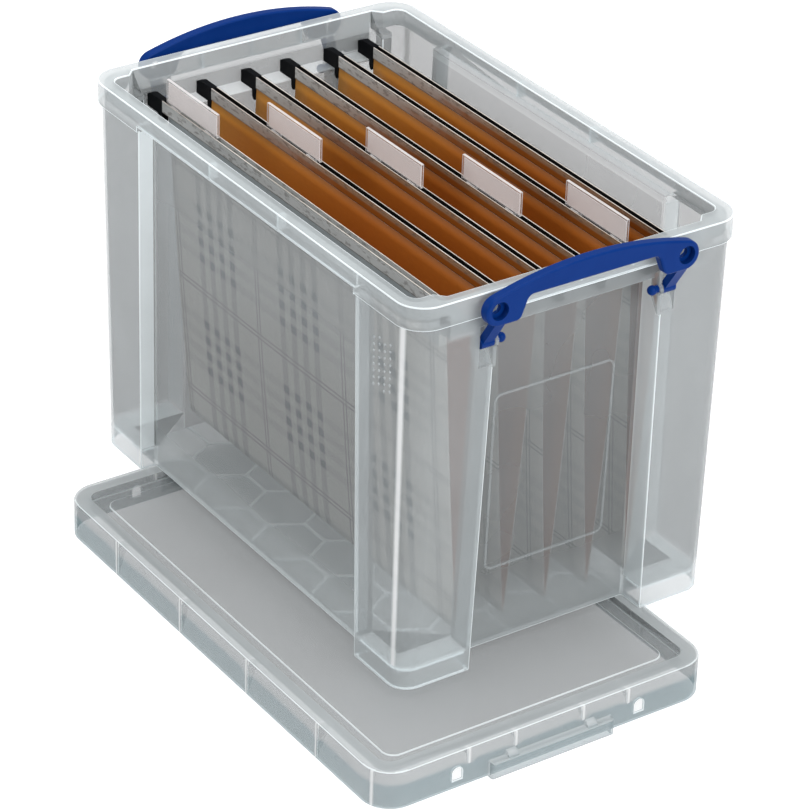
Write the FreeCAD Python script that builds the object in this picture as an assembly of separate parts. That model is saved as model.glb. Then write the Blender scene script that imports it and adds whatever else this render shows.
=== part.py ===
import FreeCAD, Part
import math
import os
from FreeCAD import Vector

# Translucent lidded box that stands on its own lid, with two hinged latch handles and hanging files.
# Sizes are in millimetres. X runs along the box, Y across it, Z up.
# The tub, its handles and its files are drawn about the middle of the tub's underside,
# the lid about the middle of its own underside, and both are then put in place.

# Tub
rim_length = 395.0          # outside of the turned-down skirt
rim_width = 255.0
tub_height = 282.5          # underside of the floor to the top of the rim
wall = 2.0
skirt_height = 16.5
skirt_step = 2.0            # how far the skirt stands proud of the columns at the ends
skirt_step_side = 1.5       # and on the long sides
end_draft = 6.0             # how much each end leans in from rim to floor
side_draft = 2.5
rim_corner_radius = 20.0
foot_corner_radius = 15.0
crease_radius = 2.0
end_recess_depth = 20.0     # end panel behind the column faces
end_recess_half = 63.5      # half of the end panel's width at the top
side_recess_depth = 12.0
side_recess_half = 131.0
recess_draft = 5.5          # how much wider each recess is at the floor
collar_height = 10.5        # rim wall above the shelf on the long sides
collar_inset_side = 10.0    # rim edge to the opening, long sides
collar_inset_end = 9.2      # rim edge to the opening, middle of the ends
collar_inset_corner = 15.7  # rim edge to the opening, beside the end corners
hook_end_gap = 6.5          # end of the hook ledge beyond the outermost hook
trough_chamfer = 6.0
ledge_drop = 28.7           # rim top to the hook ledge
opening_radius = 7.0
foot_rise = 15.0            # ledge over the hollow feet above the ground
gusset = 1.6
gusset_drop = 3.0           # gussets stop this far above the skirt's lower edge
side_gusset_place = 41.5    # gussets on the long sides, each way from the middle
end_gusset_pitch = 40.0

# Handle and its pivot
pin_radius = 2.5
pin_clearance = 0.05
pin_inset = 5.0             # pivot axis inside the rim's end
pin_drop = 37.5             # pivot axis below the rim top
lug_thickness = 2.7
lug_radius = 4.6
lug_proud = 2.0             # lug beyond the column's edge, into the end recess
barrel_radius = 3.8
barrel_length = 9.5
pivot_gap = 0.4             # free space beside the barrel and its snap head
notch_depth = 4.3           # notch floor behind the pivot axis
notch_rise = 5.0            # notch above and below the axis at its floor
notch_flare_up = 9.0        # extra height at the column face for the leg at rest
notch_flare_down = 14.0     # and for the leg when the handle hangs
snap_radius = 3.3
handle_thickness = 7.5
handle_gap = 4.0            # rim skirt to the bar, with room for the lid's skirt between them
handle_half = 81.5
handle_crown = 11.0         # top of the arch above the rim
grip_edge_drop = 3.5        # straight lower edge of the bar below the rim
grip_half = 49.5
grip_corner_radius = 5.0
lobe_drop = 19.0            # underside of the end lobes below the rim
lobe_radius = 10.0
shoulder_angle = 17.0      # where the arch runs into the round end
lobe_spread = 6.0           # how much wider the grip gap is at the lobes' underside
leg_thickness = 5.0
leg_width = 8.0
leg_bury = 2.0              # leg run on into the bar
handle_round = 1.6
seal_hole_radius = 3.4
seal_recess_radius = 6.2
seal_recess_depth = 4.5
seal_hole_drop = 8.5        # hole below the rim top

# Lid
lid_clearance = 0.7         # lid skirt to the tub's skirt
lid_wall = 1.8
lid_height = 28.5
lid_top = 2.0
lid_recess = 5.5            # panel below the lid's rim
lid_panel = 2.0
lid_band_end = 12.8         # width of the lid's raised rim
lid_band_side = 11.9
lid_corner_radius = 21.0
lid_recess_radius = 9.0
lid_edge_round = 2.5
lid_plateau_inset = 9.0     # raised field inside the panel
lid_plateau_rise = 0.8
lid_ledge_half = 48.0       # latch ledge under each handle
lid_ledge_height = 12.5
lid_ledge_depth = 6.0
lid_rib = 1.6
lid_rib_gap = 0.5           # ribs stop this far above the tub's rim when the lid is on
lid_rib_pitch_side = 84.0
lid_rib_places_end = (26.5, 62.5)
lid_skirt_rib = 0.5         # ribs run on down the skirt, this far proud of its inner face
lid_skirt_rib_lift = 1.0    # skirt ribs of the long sides above the lid's lower edge
lid_skirt_rib_drop = 5.0    # skirt ribs of the ends below the ribs over them
lid_stop_place = 31.0       # stops on the latch ledge, each way from the middle
lid_stop_width = 8.0
lid_stop_depth = 5.0
lid_stop_rise = 3.5
lid_stop_top = 2.5          # depth of the stop's flat top, in front of which it slopes
lid_seal_half = 3.5
lid_seal_height = 9.0
lid_seal_sill = 6.5         # lower edge of the seal hole above the lid's lower edge

# Where the tub stands on the lid
lid_shift_x = 60.0
lid_shift_y = -54.5

# Hanging files
runner_places = (-84.0, -45.0, -9.0, 23.0, 59.0, 88.0)
runner_width = 5.0
runner_height = 6.2
runner_sheet = 0.7
runner_slot_depth = 4.6
hook_seat_gap = 0.2
hook_thickness = 5.0
hook_arm_height = 11.0
hook_nose_height = 9.0
hook_reach = 14.0           # arm beyond the ledge's inner edge
hook_prong_width = 4.9
hook_prong_drop = 7.0
hook_prong_gap = 0.6        # prong to the ledge's inner edge
pocket_sheet = 0.8
pocket_end_gap = 1.0        # pocket short of the hooks
pocket_floor_gap = 1.5      # fold of the pockets above the columns' floors
tab_length = 65.0
tab_height = 17.2
tab_sheet = 0.6
tab_slot = 0.9
tab_pitch = 65.5
tab_foot_length = 9.0
tab_foot_depth = 4.0
tab_foot_gap = 0.2
card_thickness = 0.7
card_margin = 1.5

# Worked-out places
trough_half = max(abs(place) for place in runner_places) + hook_thickness / 2 + hook_end_gap
half_length = rim_length / 2
half_width = rim_width / 2
skirt_bottom = tub_height - skirt_height
ledge_top = tub_height - ledge_drop
shelf_top = tub_height - collar_height
flange_bottom = tub_height - wall
column_end = half_length - skirt_step
column_side = half_width - skirt_step_side
panel_end = column_end - end_recess_depth
panel_side = column_side - side_recess_depth
pin_x = half_length - pin_inset
pin_z = tub_height - pin_drop
bar_back = half_length + handle_gap
bar_front = bar_back + handle_thickness
lid_half_length = half_length + lid_clearance + lid_wall
lid_half_width = half_width + lid_clearance + lid_wall
lid_panel_top = lid_height - lid_recess
lid_recess_x = lid_half_length - lid_band_end
lid_recess_y = lid_half_width - lid_band_side
past = 1.0                  # cutters reach this far past what they cut
nearly = 0.01               # edges are picked by place to within this


def leaned(top_value, draft, height):
    """A plan size at this height when its face leans by draft over the tub's height."""
    return top_value - draft * (tub_height - height) / tub_height


def rounded_wire(corners, height):
    """Closed plan outline through (x, y, radius) corners, with an arc at each radius."""
    count = len(corners)
    arcs = []
    for i, (x, y, radius) in enumerate(corners):
        here = Vector(x, y, height)
        before = Vector(corners[i - 1][0], corners[i - 1][1], height) - here
        after = Vector(corners[(i + 1) % count][0], corners[(i + 1) % count][1], height) - here
        before.normalize()
        after.normalize()
        half_angle = before.getAngle(after) / 2
        run = radius / math.tan(half_angle)
        bisector = before + after
        bisector.normalize()
        middle = here + bisector * (radius / math.sin(half_angle) - radius)
        arcs.append((here + before * run, middle, here + after * run))
    edges = []
    for i, (start, middle, end) in enumerate(arcs):
        edges.append(Part.Arc(start, middle, end).toShape())
        edges.append(Part.LineSegment(end, arcs[(i + 1) % count][0]).toShape())
    return Part.Wire(edges)


def rectangle(half_x, half_y, radius, height):
    """Rounded rectangle about the middle."""
    corners = [(half_x, -half_y, radius), (half_x, half_y, radius),
               (-half_x, half_y, radius), (-half_x, -half_y, radius)]
    return rounded_wire(corners, height)


def loft(lower, upper):
    """Straight-sided solid between two outlines."""
    return Part.makeLoft([lower, upper], True, True)


def slab(half_x, half_y, radius, low, high):
    """Upright rounded block about the middle."""
    return Part.Face(rectangle(half_x, half_y, radius, low)).extrude(Vector(0, 0, high - low))


def block(x0, x1, y0, y1, z0, z1):
    """Plain block between two corners, given in any order."""
    low = Vector(min(x0, x1), min(y0, y1), min(z0, z1))
    return Part.makeBox(abs(x1 - x0), abs(y1 - y0), abs(z1 - z0), low)


def profile_xz(points, y0, y1):
    """Solid with this outline in the XZ plane, from y0 to y1."""
    corners = [Vector(x, y0, z) for x, z in points]
    wire = Part.makePolygon(corners + corners[:1])
    return Part.Face(wire).extrude(Vector(0, y1 - y0, 0))


def profile_yz(points, x0, x1):
    """Solid with this outline in the YZ plane, from x0 to x1."""
    corners = [Vector(x0, y, z) for y, z in points]
    wire = Part.makePolygon(corners + corners[:1])
    return Part.Face(wire).extrude(Vector(x1 - x0, 0, 0))


def mirrored_x(shape):
    """The same shape at the other end."""
    return shape.mirror(Vector(0, 0, 0), Vector(1, 0, 0))


def mirrored_y(shape):
    """The same shape on the other long side."""
    return shape.mirror(Vector(0, 0, 0), Vector(0, 1, 0))


def both_ends(shape):
    return [shape, mirrored_x(shape)]


def both_sides(shape):
    return [shape, mirrored_y(shape)]


def four_corners(shape):
    return both_ends(shape) + both_ends(mirrored_y(shape))


def body_block(inset, low, high):
    """Tapered body between two heights, drawn in by inset."""
    sections = []
    for height in (low, high):
        share = height / tub_height
        radius = foot_corner_radius + (rim_corner_radius - foot_corner_radius) * share - inset
        half_x = leaned(column_end, end_draft, height) - inset
        half_y = leaned(column_side, side_draft, height) - inset
        sections.append(rectangle(half_x, half_y, radius, height))
    return loft(sections[0], sections[1])


def end_recess(grow, low, high):
    """Space in front of the right end panel, grown on every side by grow."""
    sections = []
    for height in (low, high):
        panel = leaned(panel_end, end_draft, height) - grow
        half_y = leaned(end_recess_half, -recess_draft, height) + grow
        outer = half_length + past
        corners = [(panel, -half_y, crease_radius), (outer, -half_y, crease_radius),
                   (outer, half_y, crease_radius), (panel, half_y, crease_radius)]
        sections.append(rounded_wire(corners, height))
    return loft(sections[0], sections[1])


def side_recess(grow, low, high):
    """Space in front of the far side panel, grown on every side by grow."""
    sections = []
    for height in (low, high):
        panel = leaned(panel_side, side_draft, height) - grow
        half_x = leaned(side_recess_half, -recess_draft, height) + grow
        outer = half_width + past
        corners = [(half_x, panel, crease_radius), (half_x, outer, crease_radius),
                   (-half_x, outer, crease_radius), (-half_x, panel, crease_radius)]
        sections.append(rounded_wire(corners, height))
    return loft(sections[0], sections[1])


def opening_wire(grow, height):
    """Outline of the tub's mouth, wider in the middle of each end where the hooks go in."""
    side_y = half_width - collar_inset_side + grow
    corner_x = half_length - collar_inset_corner + grow
    end_x = half_length - collar_inset_end + grow
    near = trough_half + grow
    far = near + trough_chamfer
    quarter = [(end_x, near, crease_radius), (corner_x, far, crease_radius),
               (corner_x, side_y, opening_radius + grow)]
    right_far = quarter
    left_far = [(-x, y, r) for x, y, r in reversed(quarter)]
    left_near = [(-x, -y, r) for x, y, r in quarter]
    right_near = [(x, -y, r) for x, y, r in reversed(quarter)]
    return rounded_wire(right_far + left_far + left_near + right_near, height)


def opening_block(grow, low, high):
    return Part.Face(opening_wire(grow, low)).extrude(Vector(0, 0, high - low))


def notch_profile(grow):
    """Side view of the pocket that the handle's leg turns in."""
    floor_x = pin_x - notch_depth - grow
    face_x = half_length + past
    return [(floor_x, pin_z - notch_rise - grow),
            (column_end, pin_z - notch_rise - notch_flare_down - grow),
            (face_x, pin_z - notch_rise - notch_flare_down - grow),
            (face_x, pin_z + notch_rise + notch_flare_up + grow),
            (column_end, pin_z + notch_rise + notch_flare_up + grow),
            (floor_x, pin_z + notch_rise + grow)]


def lug_face():
    """Recess side of the right far hinge lug."""
    return leaned(end_recess_half, -recess_draft, pin_z) - lug_proud


def make_tub():
    """One thin-walled moulding."""
    rim = slab(half_length, half_width, rim_corner_radius, skirt_bottom, tub_height)
    outer = body_block(0, 0, flange_bottom).fuse(rim)
    recesses = both_ends(end_recess(0, -past, ledge_top - wall))
    recesses += both_sides(side_recess(0, -past, shelf_top - wall))
    outer = outer.cut(recesses)

    # Hollow: below the shelves it follows the body, above them the mouth
    hollow = body_block(wall, wall, shelf_top - wall)
    # The hook ledge runs on across the two end columns, and its back wall stands on it
    trough_x = half_length - collar_inset_end
    trough_end = trough_half + trough_chamfer + wall
    trough_body = block(ledge_edge(), half_length, -trough_end, trough_end, ledge_top - wall, tub_height)
    trough = block(ledge_edge() - past, trough_x, -trough_half, trough_half, ledge_top, tub_height)
    hollow = hollow.cut(both_ends(trough_body))
    hollow = hollow.fuse(both_ends(trough) + [opening_block(0, shelf_top - wall, tub_height + past)])
    foot_x = leaned(side_recess_half, -recess_draft, 0)
    foot_y = leaned(end_recess_half, -recess_draft, 0)
    intrusions = both_ends(end_recess(wall, wall - past, ledge_top))
    intrusions += both_sides(side_recess(wall, wall - past, shelf_top))
    foot_ledge = block(foot_x, half_length, foot_y, half_width, 0, foot_rise)
    intrusions += four_corners(foot_ledge.cut(inner_corner(wall, wall)))
    hollow = hollow.cut(intrusions)
    tub = outer.cut(hollow)

    # Channel behind the skirt, open below in the middle of each side and end
    channel = slab(column_end - wall, column_side - wall, rim_corner_radius - wall, shelf_top, flange_bottom)
    channel = channel.cut(opening_block(wall, shelf_top - past, flange_bottom + past))
    side_gap = block(-side_recess_half, side_recess_half, half_width - collar_inset_side + wall,
                     half_width - wall, shelf_top - wall - past, flange_bottom)
    end_gap = block(trough_x + wall, half_length - wall, -end_recess_half, end_recess_half,
                    ledge_top - wall - past, flange_bottom)
    column_gap = block(trough_x + wall, column_end - wall, -trough_half, trough_half, ledge_top, flange_bottom)
    tub = tub.cut([channel] + both_sides(side_gap) + both_ends(end_gap) + both_ends(column_gap))

    # Gussets stiffen the skirt
    gussets = []
    foot_of_gusset = skirt_bottom + gusset_drop
    x = side_gusset_place
    gussets += four_corners(block(x - gusset / 2, x + gusset / 2, half_width - collar_inset_side + wall / 2,
                                  half_width - wall / 2, foot_of_gusset, flange_bottom))
    for k in (-1, 0, 1):
        y = k * end_gusset_pitch
        gussets += both_ends(block(trough_x + wall / 2, half_length - wall / 2, y - gusset / 2, y + gusset / 2,
                                   foot_of_gusset, flange_bottom))

    # Open-bottomed feet round the corners of the inner box
    feet = four_corners(foot_hollow(foot_x, foot_y))

    # Hinge notch, its inner walls and the pierced lug
    lug = lug_face()
    notch_start = lug + lug_thickness
    notch_end = notch_start + pivot_gap + barrel_length + pivot_gap
    casing = profile_xz(notch_profile(wall), lug, notch_end + wall)
    casing = casing.common(body_block(0, 0, skirt_bottom))
    notch = profile_xz(notch_profile(0), notch_start, notch_end)
    ear = Part.makeCylinder(lug_radius, lug_thickness, Vector(pin_x, lug, pin_z), Vector(0, 1, 0))
    pin_hole = Part.makeCylinder(pin_radius + pin_clearance, lug_thickness + 2 * past,
                                 Vector(pin_x, lug - past, pin_z), Vector(0, 1, 0))
    tub = tub.fuse(gussets + four_corners(casing))
    tub = tub.cut(feet + four_corners(notch))
    tub = tub.fuse(four_corners(ear))
    tub = tub.cut(four_corners(pin_hole))
    return tub.removeSplitter()


def inner_corner(inset, low):
    """Right far corner of the box that the end and side panels would make, drawn in by inset."""
    x = leaned(panel_end, end_draft, 0) - inset
    y = leaned(panel_side, side_draft, 0) - inset
    return block(0, x, 0, y, low, foot_rise + past)


def foot_hollow(foot_x, foot_y):
    """Space inside the right far foot, which goes round the corner of the inner box."""
    x1 = leaned(column_end, end_draft, 0) - wall
    y1 = leaned(column_side, side_draft, 0) - wall
    x0 = foot_x + wall
    y0 = foot_y + wall
    corners = [(x0, y0, crease_radius), (x1, y0, crease_radius),
               (x1, y1, foot_corner_radius - wall), (x0, y1, crease_radius)]
    space = Part.Face(rounded_wire(corners, -past)).extrude(Vector(0, 0, foot_rise - wall + past))
    return space.cut(inner_corner(0, -2 * past))


def make_lid():
    """Channel-rimmed cap with a recessed panel and a latch ledge at each end."""
    shell = slab(lid_half_length, lid_half_width, lid_corner_radius, 0, lid_height)
    top_edges = [e for e in shell.Edges if e.BoundBox.ZMin > lid_height - nearly]
    shell = shell.makeFillet(lid_edge_round, top_edges)
    shell = shell.cut(slab(lid_recess_x, lid_recess_y, lid_recess_radius, lid_panel_top, lid_height + past))
    under = slab(lid_half_length - lid_wall, lid_half_width - lid_wall, lid_corner_radius - lid_wall,
                 -past, lid_height - lid_top)
    web = slab(lid_recess_x + lid_wall, lid_recess_y + lid_wall, lid_recess_radius + lid_wall,
               lid_panel_top - lid_panel, lid_height)
    shell = shell.cut(under.cut(web))
    plateau = slab(lid_recess_x - lid_plateau_inset, lid_recess_y - lid_plateau_inset, lid_recess_radius,
                   lid_panel_top - lid_panel / 2, lid_panel_top + lid_plateau_rise)
    ribs = []
    rib_top = lid_height - lid_top / 2
    rib_foot = lid_panel_top - lid_panel + lid_rib_gap
    for k in (-1.5, -0.5, 0.5, 1.5):
        x = k * lid_rib_pitch_side
        ribs += both_sides(block(x - lid_rib / 2, x + lid_rib / 2, lid_recess_y + lid_wall / 2,
                                 lid_half_width - lid_wall / 2, rib_foot, rib_top))
        ribs += both_sides(block(x - lid_rib / 2, x + lid_rib / 2, lid_half_width - lid_wall - lid_skirt_rib,
                                 lid_half_width - lid_wall / 2, lid_skirt_rib_lift, rib_top))
    for y in lid_rib_places_end:
        ribs += four_corners(block(lid_recess_x + lid_wall / 2, lid_half_length - lid_wall / 2,
                                   y - lid_rib / 2, y + lid_rib / 2, rib_foot, rib_top))
        ribs += four_corners(block(lid_half_length - lid_wall - lid_skirt_rib, lid_half_length - lid_wall / 2,
                                   y - lid_rib / 2, y + lid_rib / 2, rib_foot - lid_skirt_rib_drop, rib_top))
    ledge = block(lid_half_length - lid_wall / 2, lid_half_length + lid_ledge_depth,
                  -lid_ledge_half, lid_ledge_half, 0, lid_ledge_height)
    outer_edges = [e for e in ledge.Edges if e.BoundBox.XMin > lid_half_length + lid_ledge_depth - nearly]
    ledge = ledge.makeFillet(lid_edge_round, outer_edges)
    ledge = ledge.cut(block(lid_half_length, lid_half_length + lid_ledge_depth - lid_wall,
                            lid_wall - lid_ledge_half, lid_ledge_half - lid_wall,
                            -past, lid_ledge_height - lid_wall))
    lid = shell.fuse([plateau] + ribs + both_ends(ledge) + four_corners(ledge_stop()))
    lid = lid.cut(four_corners(seal_arch()))
    return lid.removeSplitter()


def ledge_stop():
    """Wedge on the right latch ledge, against the skirt."""
    x0 = lid_half_length - lid_wall / 2
    x1 = lid_half_length + lid_stop_depth
    z0 = lid_ledge_height - lid_wall / 2
    z1 = lid_ledge_height + lid_stop_rise
    outline = [(x0, z0), (x1, z0), (x1, lid_ledge_height), (lid_half_length + lid_stop_top, z1), (x0, z1)]
    return profile_xz(outline, lid_stop_place - lid_stop_width / 2, lid_stop_place + lid_stop_width / 2)


def seal_place():
    """Sideways place of the seal holes, the middle of the handle's end lobes."""
    return handle_half - lobe_radius


def seal_arch():
    """Round-topped hole through the lid's end skirt, in line with the handle's seal hole."""
    y = seal_place()
    x0 = lid_half_length - lid_wall - past
    x1 = lid_half_length + past
    spring = lid_seal_sill + lid_seal_height - lid_seal_half
    arch = block(x0, x1, y - lid_seal_half, y + lid_seal_half, lid_seal_sill, spring)
    return arch.fuse(Part.makeCylinder(lid_seal_half, x1 - x0, Vector(x0, y, spring), Vector(1, 0, 0)))


def handle_outline():
    """Front view of the bar: arched top, round ends, straight grip edge between the lobes."""
    x = bar_back
    crown_z = tub_height + handle_crown
    grip_z = tub_height - grip_edge_drop
    lobe_z = tub_height - lobe_drop
    lobe_y = seal_place()
    lobe_mid = lobe_z + lobe_radius
    shoulder = math.radians(shoulder_angle)
    tip_y = lobe_y + lobe_radius * math.sin(shoulder)
    tip_z = lobe_mid + lobe_radius * math.cos(shoulder)
    inner_y = grip_half + lobe_spread
    edges = []
    points = [Vector(x, -tip_y, tip_z), Vector(x, 0, crown_z), Vector(x, tip_y, tip_z)]
    edges.append(Part.Arc(points[0], points[1], points[2]).toShape())
    edges.append(Part.Arc(Vector(x, tip_y, tip_z), Vector(x, lobe_y + lobe_radius, lobe_mid),
                          Vector(x, lobe_y, lobe_z)).toShape())
    steps = [(lobe_y, lobe_z), (inner_y, lobe_z), (grip_half, grip_z), (-grip_half, grip_z),
             (-inner_y, lobe_z), (-lobe_y, lobe_z)]
    for (y0, z0), (y1, z1) in zip(steps, steps[1:]):
        edges.append(Part.LineSegment(Vector(x, y0, z0), Vector(x, y1, z1)).toShape())
    edges.append(Part.Arc(Vector(x, -lobe_y, lobe_z), Vector(x, -lobe_y - lobe_radius, lobe_mid),
                          Vector(x, -tip_y, tip_z)).toShape())
    return Part.Wire(edges)


def make_handle():
    """Right handle as one moulding: bar, legs, pivot barrels, pins and snap heads."""
    bar = Part.Face(handle_outline()).extrude(Vector(handle_thickness, 0, 0))
    grip_z = tub_height - grip_edge_drop
    lobe_z = tub_height - lobe_drop
    lengthwise = [e for e in bar.Edges if e.BoundBox.XLength > handle_thickness / 2]
    inside = [e for e in lengthwise if abs(e.BoundBox.YMax) < grip_half + lobe_spread + past]
    bar = bar.makeFillet(grip_corner_radius, inside)
    rims = [e for e in bar.Edges if e.BoundBox.XLength < 0.01]
    bar = bar.makeFillet(handle_round, rims)
    hole_y = seal_place()
    hole_z = tub_height - seal_hole_drop
    holes = []
    for side in (-1, 1):
        base = Vector(bar_back - past, side * hole_y, hole_z)
        holes.append(Part.makeCylinder(seal_hole_radius, handle_thickness + 2 * past, base, Vector(1, 0, 0)))
        mouth = Vector(bar_front - seal_recess_depth, side * hole_y, hole_z)
        holes.append(Part.makeCylinder(seal_recess_radius, seal_recess_depth + past, mouth, Vector(1, 0, 0)))
    bar = bar.cut(holes)

    # Leg from the pivot up and out to the bar
    start = lug_face() + lug_thickness + pivot_gap
    leg_y0 = start + (barrel_length - leg_width) / 2
    foot = Vector(pin_x, 0, pin_z)
    head = Vector(bar_back + handle_thickness / 2, 0, lobe_z + handle_round)
    along = head - foot
    along.normalize()
    across = Vector(along.z, 0, -along.x) * (leg_thickness / 2)
    reach = head + along * leg_bury
    corners = [foot + across, reach + across, reach - across, foot - across]
    leg = profile_xz([(c.x, c.z) for c in corners], leg_y0, leg_y0 + leg_width)
    barrel = Part.makeCylinder(barrel_radius, barrel_length, Vector(pin_x, start, pin_z), Vector(0, 1, 0))
    snap_y = lug_face() - pivot_gap - snap_radius
    pin = Part.makeCylinder(pin_radius, start - snap_y, Vector(pin_x, snap_y, pin_z), Vector(0, 1, 0))
    snap = Part.makeSphere(snap_radius, Vector(pin_x, snap_y, pin_z))
    arm = barrel.fuse([leg, pin, snap])
    return bar.fuse(both_sides(arm)).removeSplitter()


def ledge_edge():
    """Inner edge of the right hook ledge."""
    return leaned(panel_end, end_draft, ledge_top) - wall


def hook_start():
    """Where the runner ends and the hook begins."""
    return ledge_edge() - hook_prong_gap - hook_prong_width


def runner_bottom():
    return ledge_top + hook_seat_gap + hook_arm_height - runner_height


def make_runner(y):
    """Folded steel channel, open along its top."""
    z0 = runner_bottom()
    z1 = z0 + runner_height
    x = hook_start()
    bar = block(-x, x, y - runner_width / 2, y + runner_width / 2, z0, z1)
    slot_half = runner_width / 2 - runner_sheet
    slot = block(-x - past, x + past, y - slot_half, y + slot_half, z1 - runner_slot_depth, z1 + past)
    return bar.cut(slot)


def make_hook(y):
    """Right end hook: an arm over the ledge, a nose and a prong inside it."""
    x0 = hook_start()
    x1 = x0 + hook_prong_width
    nose = ledge_edge() + hook_reach
    z0 = ledge_top + hook_seat_gap
    z1 = z0 + hook_arm_height
    tip = z0 - hook_prong_drop
    shoulder = tip + hook_prong_width / 2
    taper = hook_prong_width / 3
    outline = [(x0, z1), (nose - hook_prong_width, z1), (nose, z0 + hook_nose_height), (nose, z0), (x1, z0),
               (x1, shoulder), (x1 - taper, tip), (x0 + taper, tip), (x0, shoulder)]
    return profile_xz(outline, y - hook_thickness / 2, y + hook_thickness / 2)


def make_pocket(y0, y1):
    """Card folded into a V between two runners."""
    top = runner_bottom()
    apex = foot_rise + pocket_floor_gap
    reach = hook_start() - pocket_end_gap
    left = y0 + runner_width / 2 - pocket_sheet
    right = y1 - runner_width / 2 + pocket_sheet
    middle = (y0 + y1) / 2
    half_fold = pocket_sheet
    inner_apex = apex + pocket_sheet
    outline = [(left, top), (left + pocket_sheet, top), (middle - half_fold / 4, inner_apex),
               (middle + half_fold / 4, inner_apex), (right - pocket_sheet, top), (right, top),
               (middle + half_fold, apex), (middle - half_fold, apex)]
    return profile_yz(outline, -reach, reach)


def tab_middle(index):
    last = len(runner_places) - 2
    return (index - last / 2) * tab_pitch


def make_tab(index):
    """Clear sleeve with two feet that clip into the runner's slot."""
    y = runner_places[index]
    x = tab_middle(index)
    z0 = runner_bottom() + runner_height
    z1 = z0 + tab_height
    half = tab_slot / 2 + tab_sheet
    sleeve = block(x - tab_length / 2, x + tab_length / 2, y - half, y + half, z0, z1)
    slot = block(x - tab_length / 2 - past, x + tab_length / 2 + past, y - tab_slot / 2, y + tab_slot / 2,
                 z0 + tab_sheet, z1 - tab_sheet)
    foot_half = runner_width / 2 - runner_sheet - tab_foot_gap
    feet = []
    for side in (-1, 1):
        middle = x + side * tab_length / 3
        feet.append(block(middle - tab_foot_length / 2, middle + tab_foot_length / 2,
                          y - foot_half, y + foot_half, z0 - tab_foot_depth, z0 + tab_sheet / 2))
    return sleeve.cut(slot).fuse(feet).removeSplitter()


def make_card(index):
    """Blank index card standing in the sleeve."""
    y = runner_places[index]
    x = tab_middle(index)
    z0 = runner_bottom() + runner_height + tab_sheet
    half_x = tab_length / 2 - card_margin
    top = z0 + tab_height - 2 * tab_sheet - card_margin
    return block(x - half_x, x + half_x, y - card_thickness / 2, y + card_thickness / 2, z0, top)


# Everything is placed so that the whole stands on the middle of its footprint
reach_left = -bar_front
reach_right = lid_shift_x + lid_half_length + lid_ledge_depth
reach_near = lid_shift_y - lid_half_width
reach_far = half_width
middle_x = (reach_left + reach_right) / 2
middle_y = (reach_near + reach_far) / 2
tub_place = Vector(-middle_x, -middle_y, lid_height)
lid_place = Vector(lid_shift_x - middle_x, lid_shift_y - middle_y, 0)

pieces = {"tub": make_tub(), "right_handle": make_handle()}
pieces["left_handle"] = mirrored_x(pieces["right_handle"])
for number, place in enumerate(runner_places, start=1):
    pieces["runner_%d" % number] = make_runner(place)
    pieces["hook_right_%d" % number] = make_hook(place)
    pieces["hook_left_%d" % number] = mirrored_x(make_hook(place))
for index in range(len(runner_places) - 1):
    pieces["pocket_%d" % (index + 1)] = make_pocket(runner_places[index], runner_places[index + 1])
    pieces["tab_%d" % (index + 1)] = make_tab(index)
    pieces["card_%d" % (index + 1)] = make_card(index)
for shape in pieces.values():
    shape.translate(tub_place)
pieces["lid"] = make_lid()
pieces["lid"].translate(lid_place)

os.makedirs("parts", exist_ok=True)
for name, shape in pieces.items():
    shape.exportStep("parts/%s.step" % name)
    print(name, len(shape.Solids), "solid,", len(shape.Faces), "faces,", round(shape.Volume / 1000, 2), "cm3,",
          "valid" if shape.isValid() else "not valid")
print("tub placed at", tub_place, "lid placed at", lid_place)
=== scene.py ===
import math
import bmesh
import bpy
from mathutils import Matrix, Vector


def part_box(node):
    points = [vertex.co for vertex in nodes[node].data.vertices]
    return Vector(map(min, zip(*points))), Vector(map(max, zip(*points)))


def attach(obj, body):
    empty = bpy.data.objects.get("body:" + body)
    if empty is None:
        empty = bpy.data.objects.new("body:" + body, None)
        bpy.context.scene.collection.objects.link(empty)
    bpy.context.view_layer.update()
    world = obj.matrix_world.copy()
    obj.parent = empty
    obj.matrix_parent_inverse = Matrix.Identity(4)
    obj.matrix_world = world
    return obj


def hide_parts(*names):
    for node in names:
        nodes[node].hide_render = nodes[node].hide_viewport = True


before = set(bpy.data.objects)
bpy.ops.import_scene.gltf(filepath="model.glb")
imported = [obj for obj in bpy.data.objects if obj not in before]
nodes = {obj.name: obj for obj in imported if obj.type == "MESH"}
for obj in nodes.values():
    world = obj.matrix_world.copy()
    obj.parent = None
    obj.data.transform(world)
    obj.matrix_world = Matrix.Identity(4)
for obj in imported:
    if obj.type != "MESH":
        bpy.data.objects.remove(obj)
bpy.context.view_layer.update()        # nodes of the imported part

mm = 0.001


def footOf(node):             # middle of a node's box, at its lowest height
    low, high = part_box(node)
    return Vector(((low.x + high.x) / 2, (low.y + high.y) / 2, low.z))


tubBase = footOf("tub")
lidBase = footOf("lid")
print("frame:", len(nodes), "nodes, tub at", tuple(round(v / mm, 1) for v in tubBase))


def rgb(red, green, blue):    # screen colour 0 to 255 as the shader's own colour
    def toLinear(level):
        level /= 255
        return level / 12.92 if level <= 0.04045 else ((level + 0.055) / 1.055) ** 2.4
    return (toLinear(red), toLinear(green), toLinear(blue), 1.0)


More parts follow.
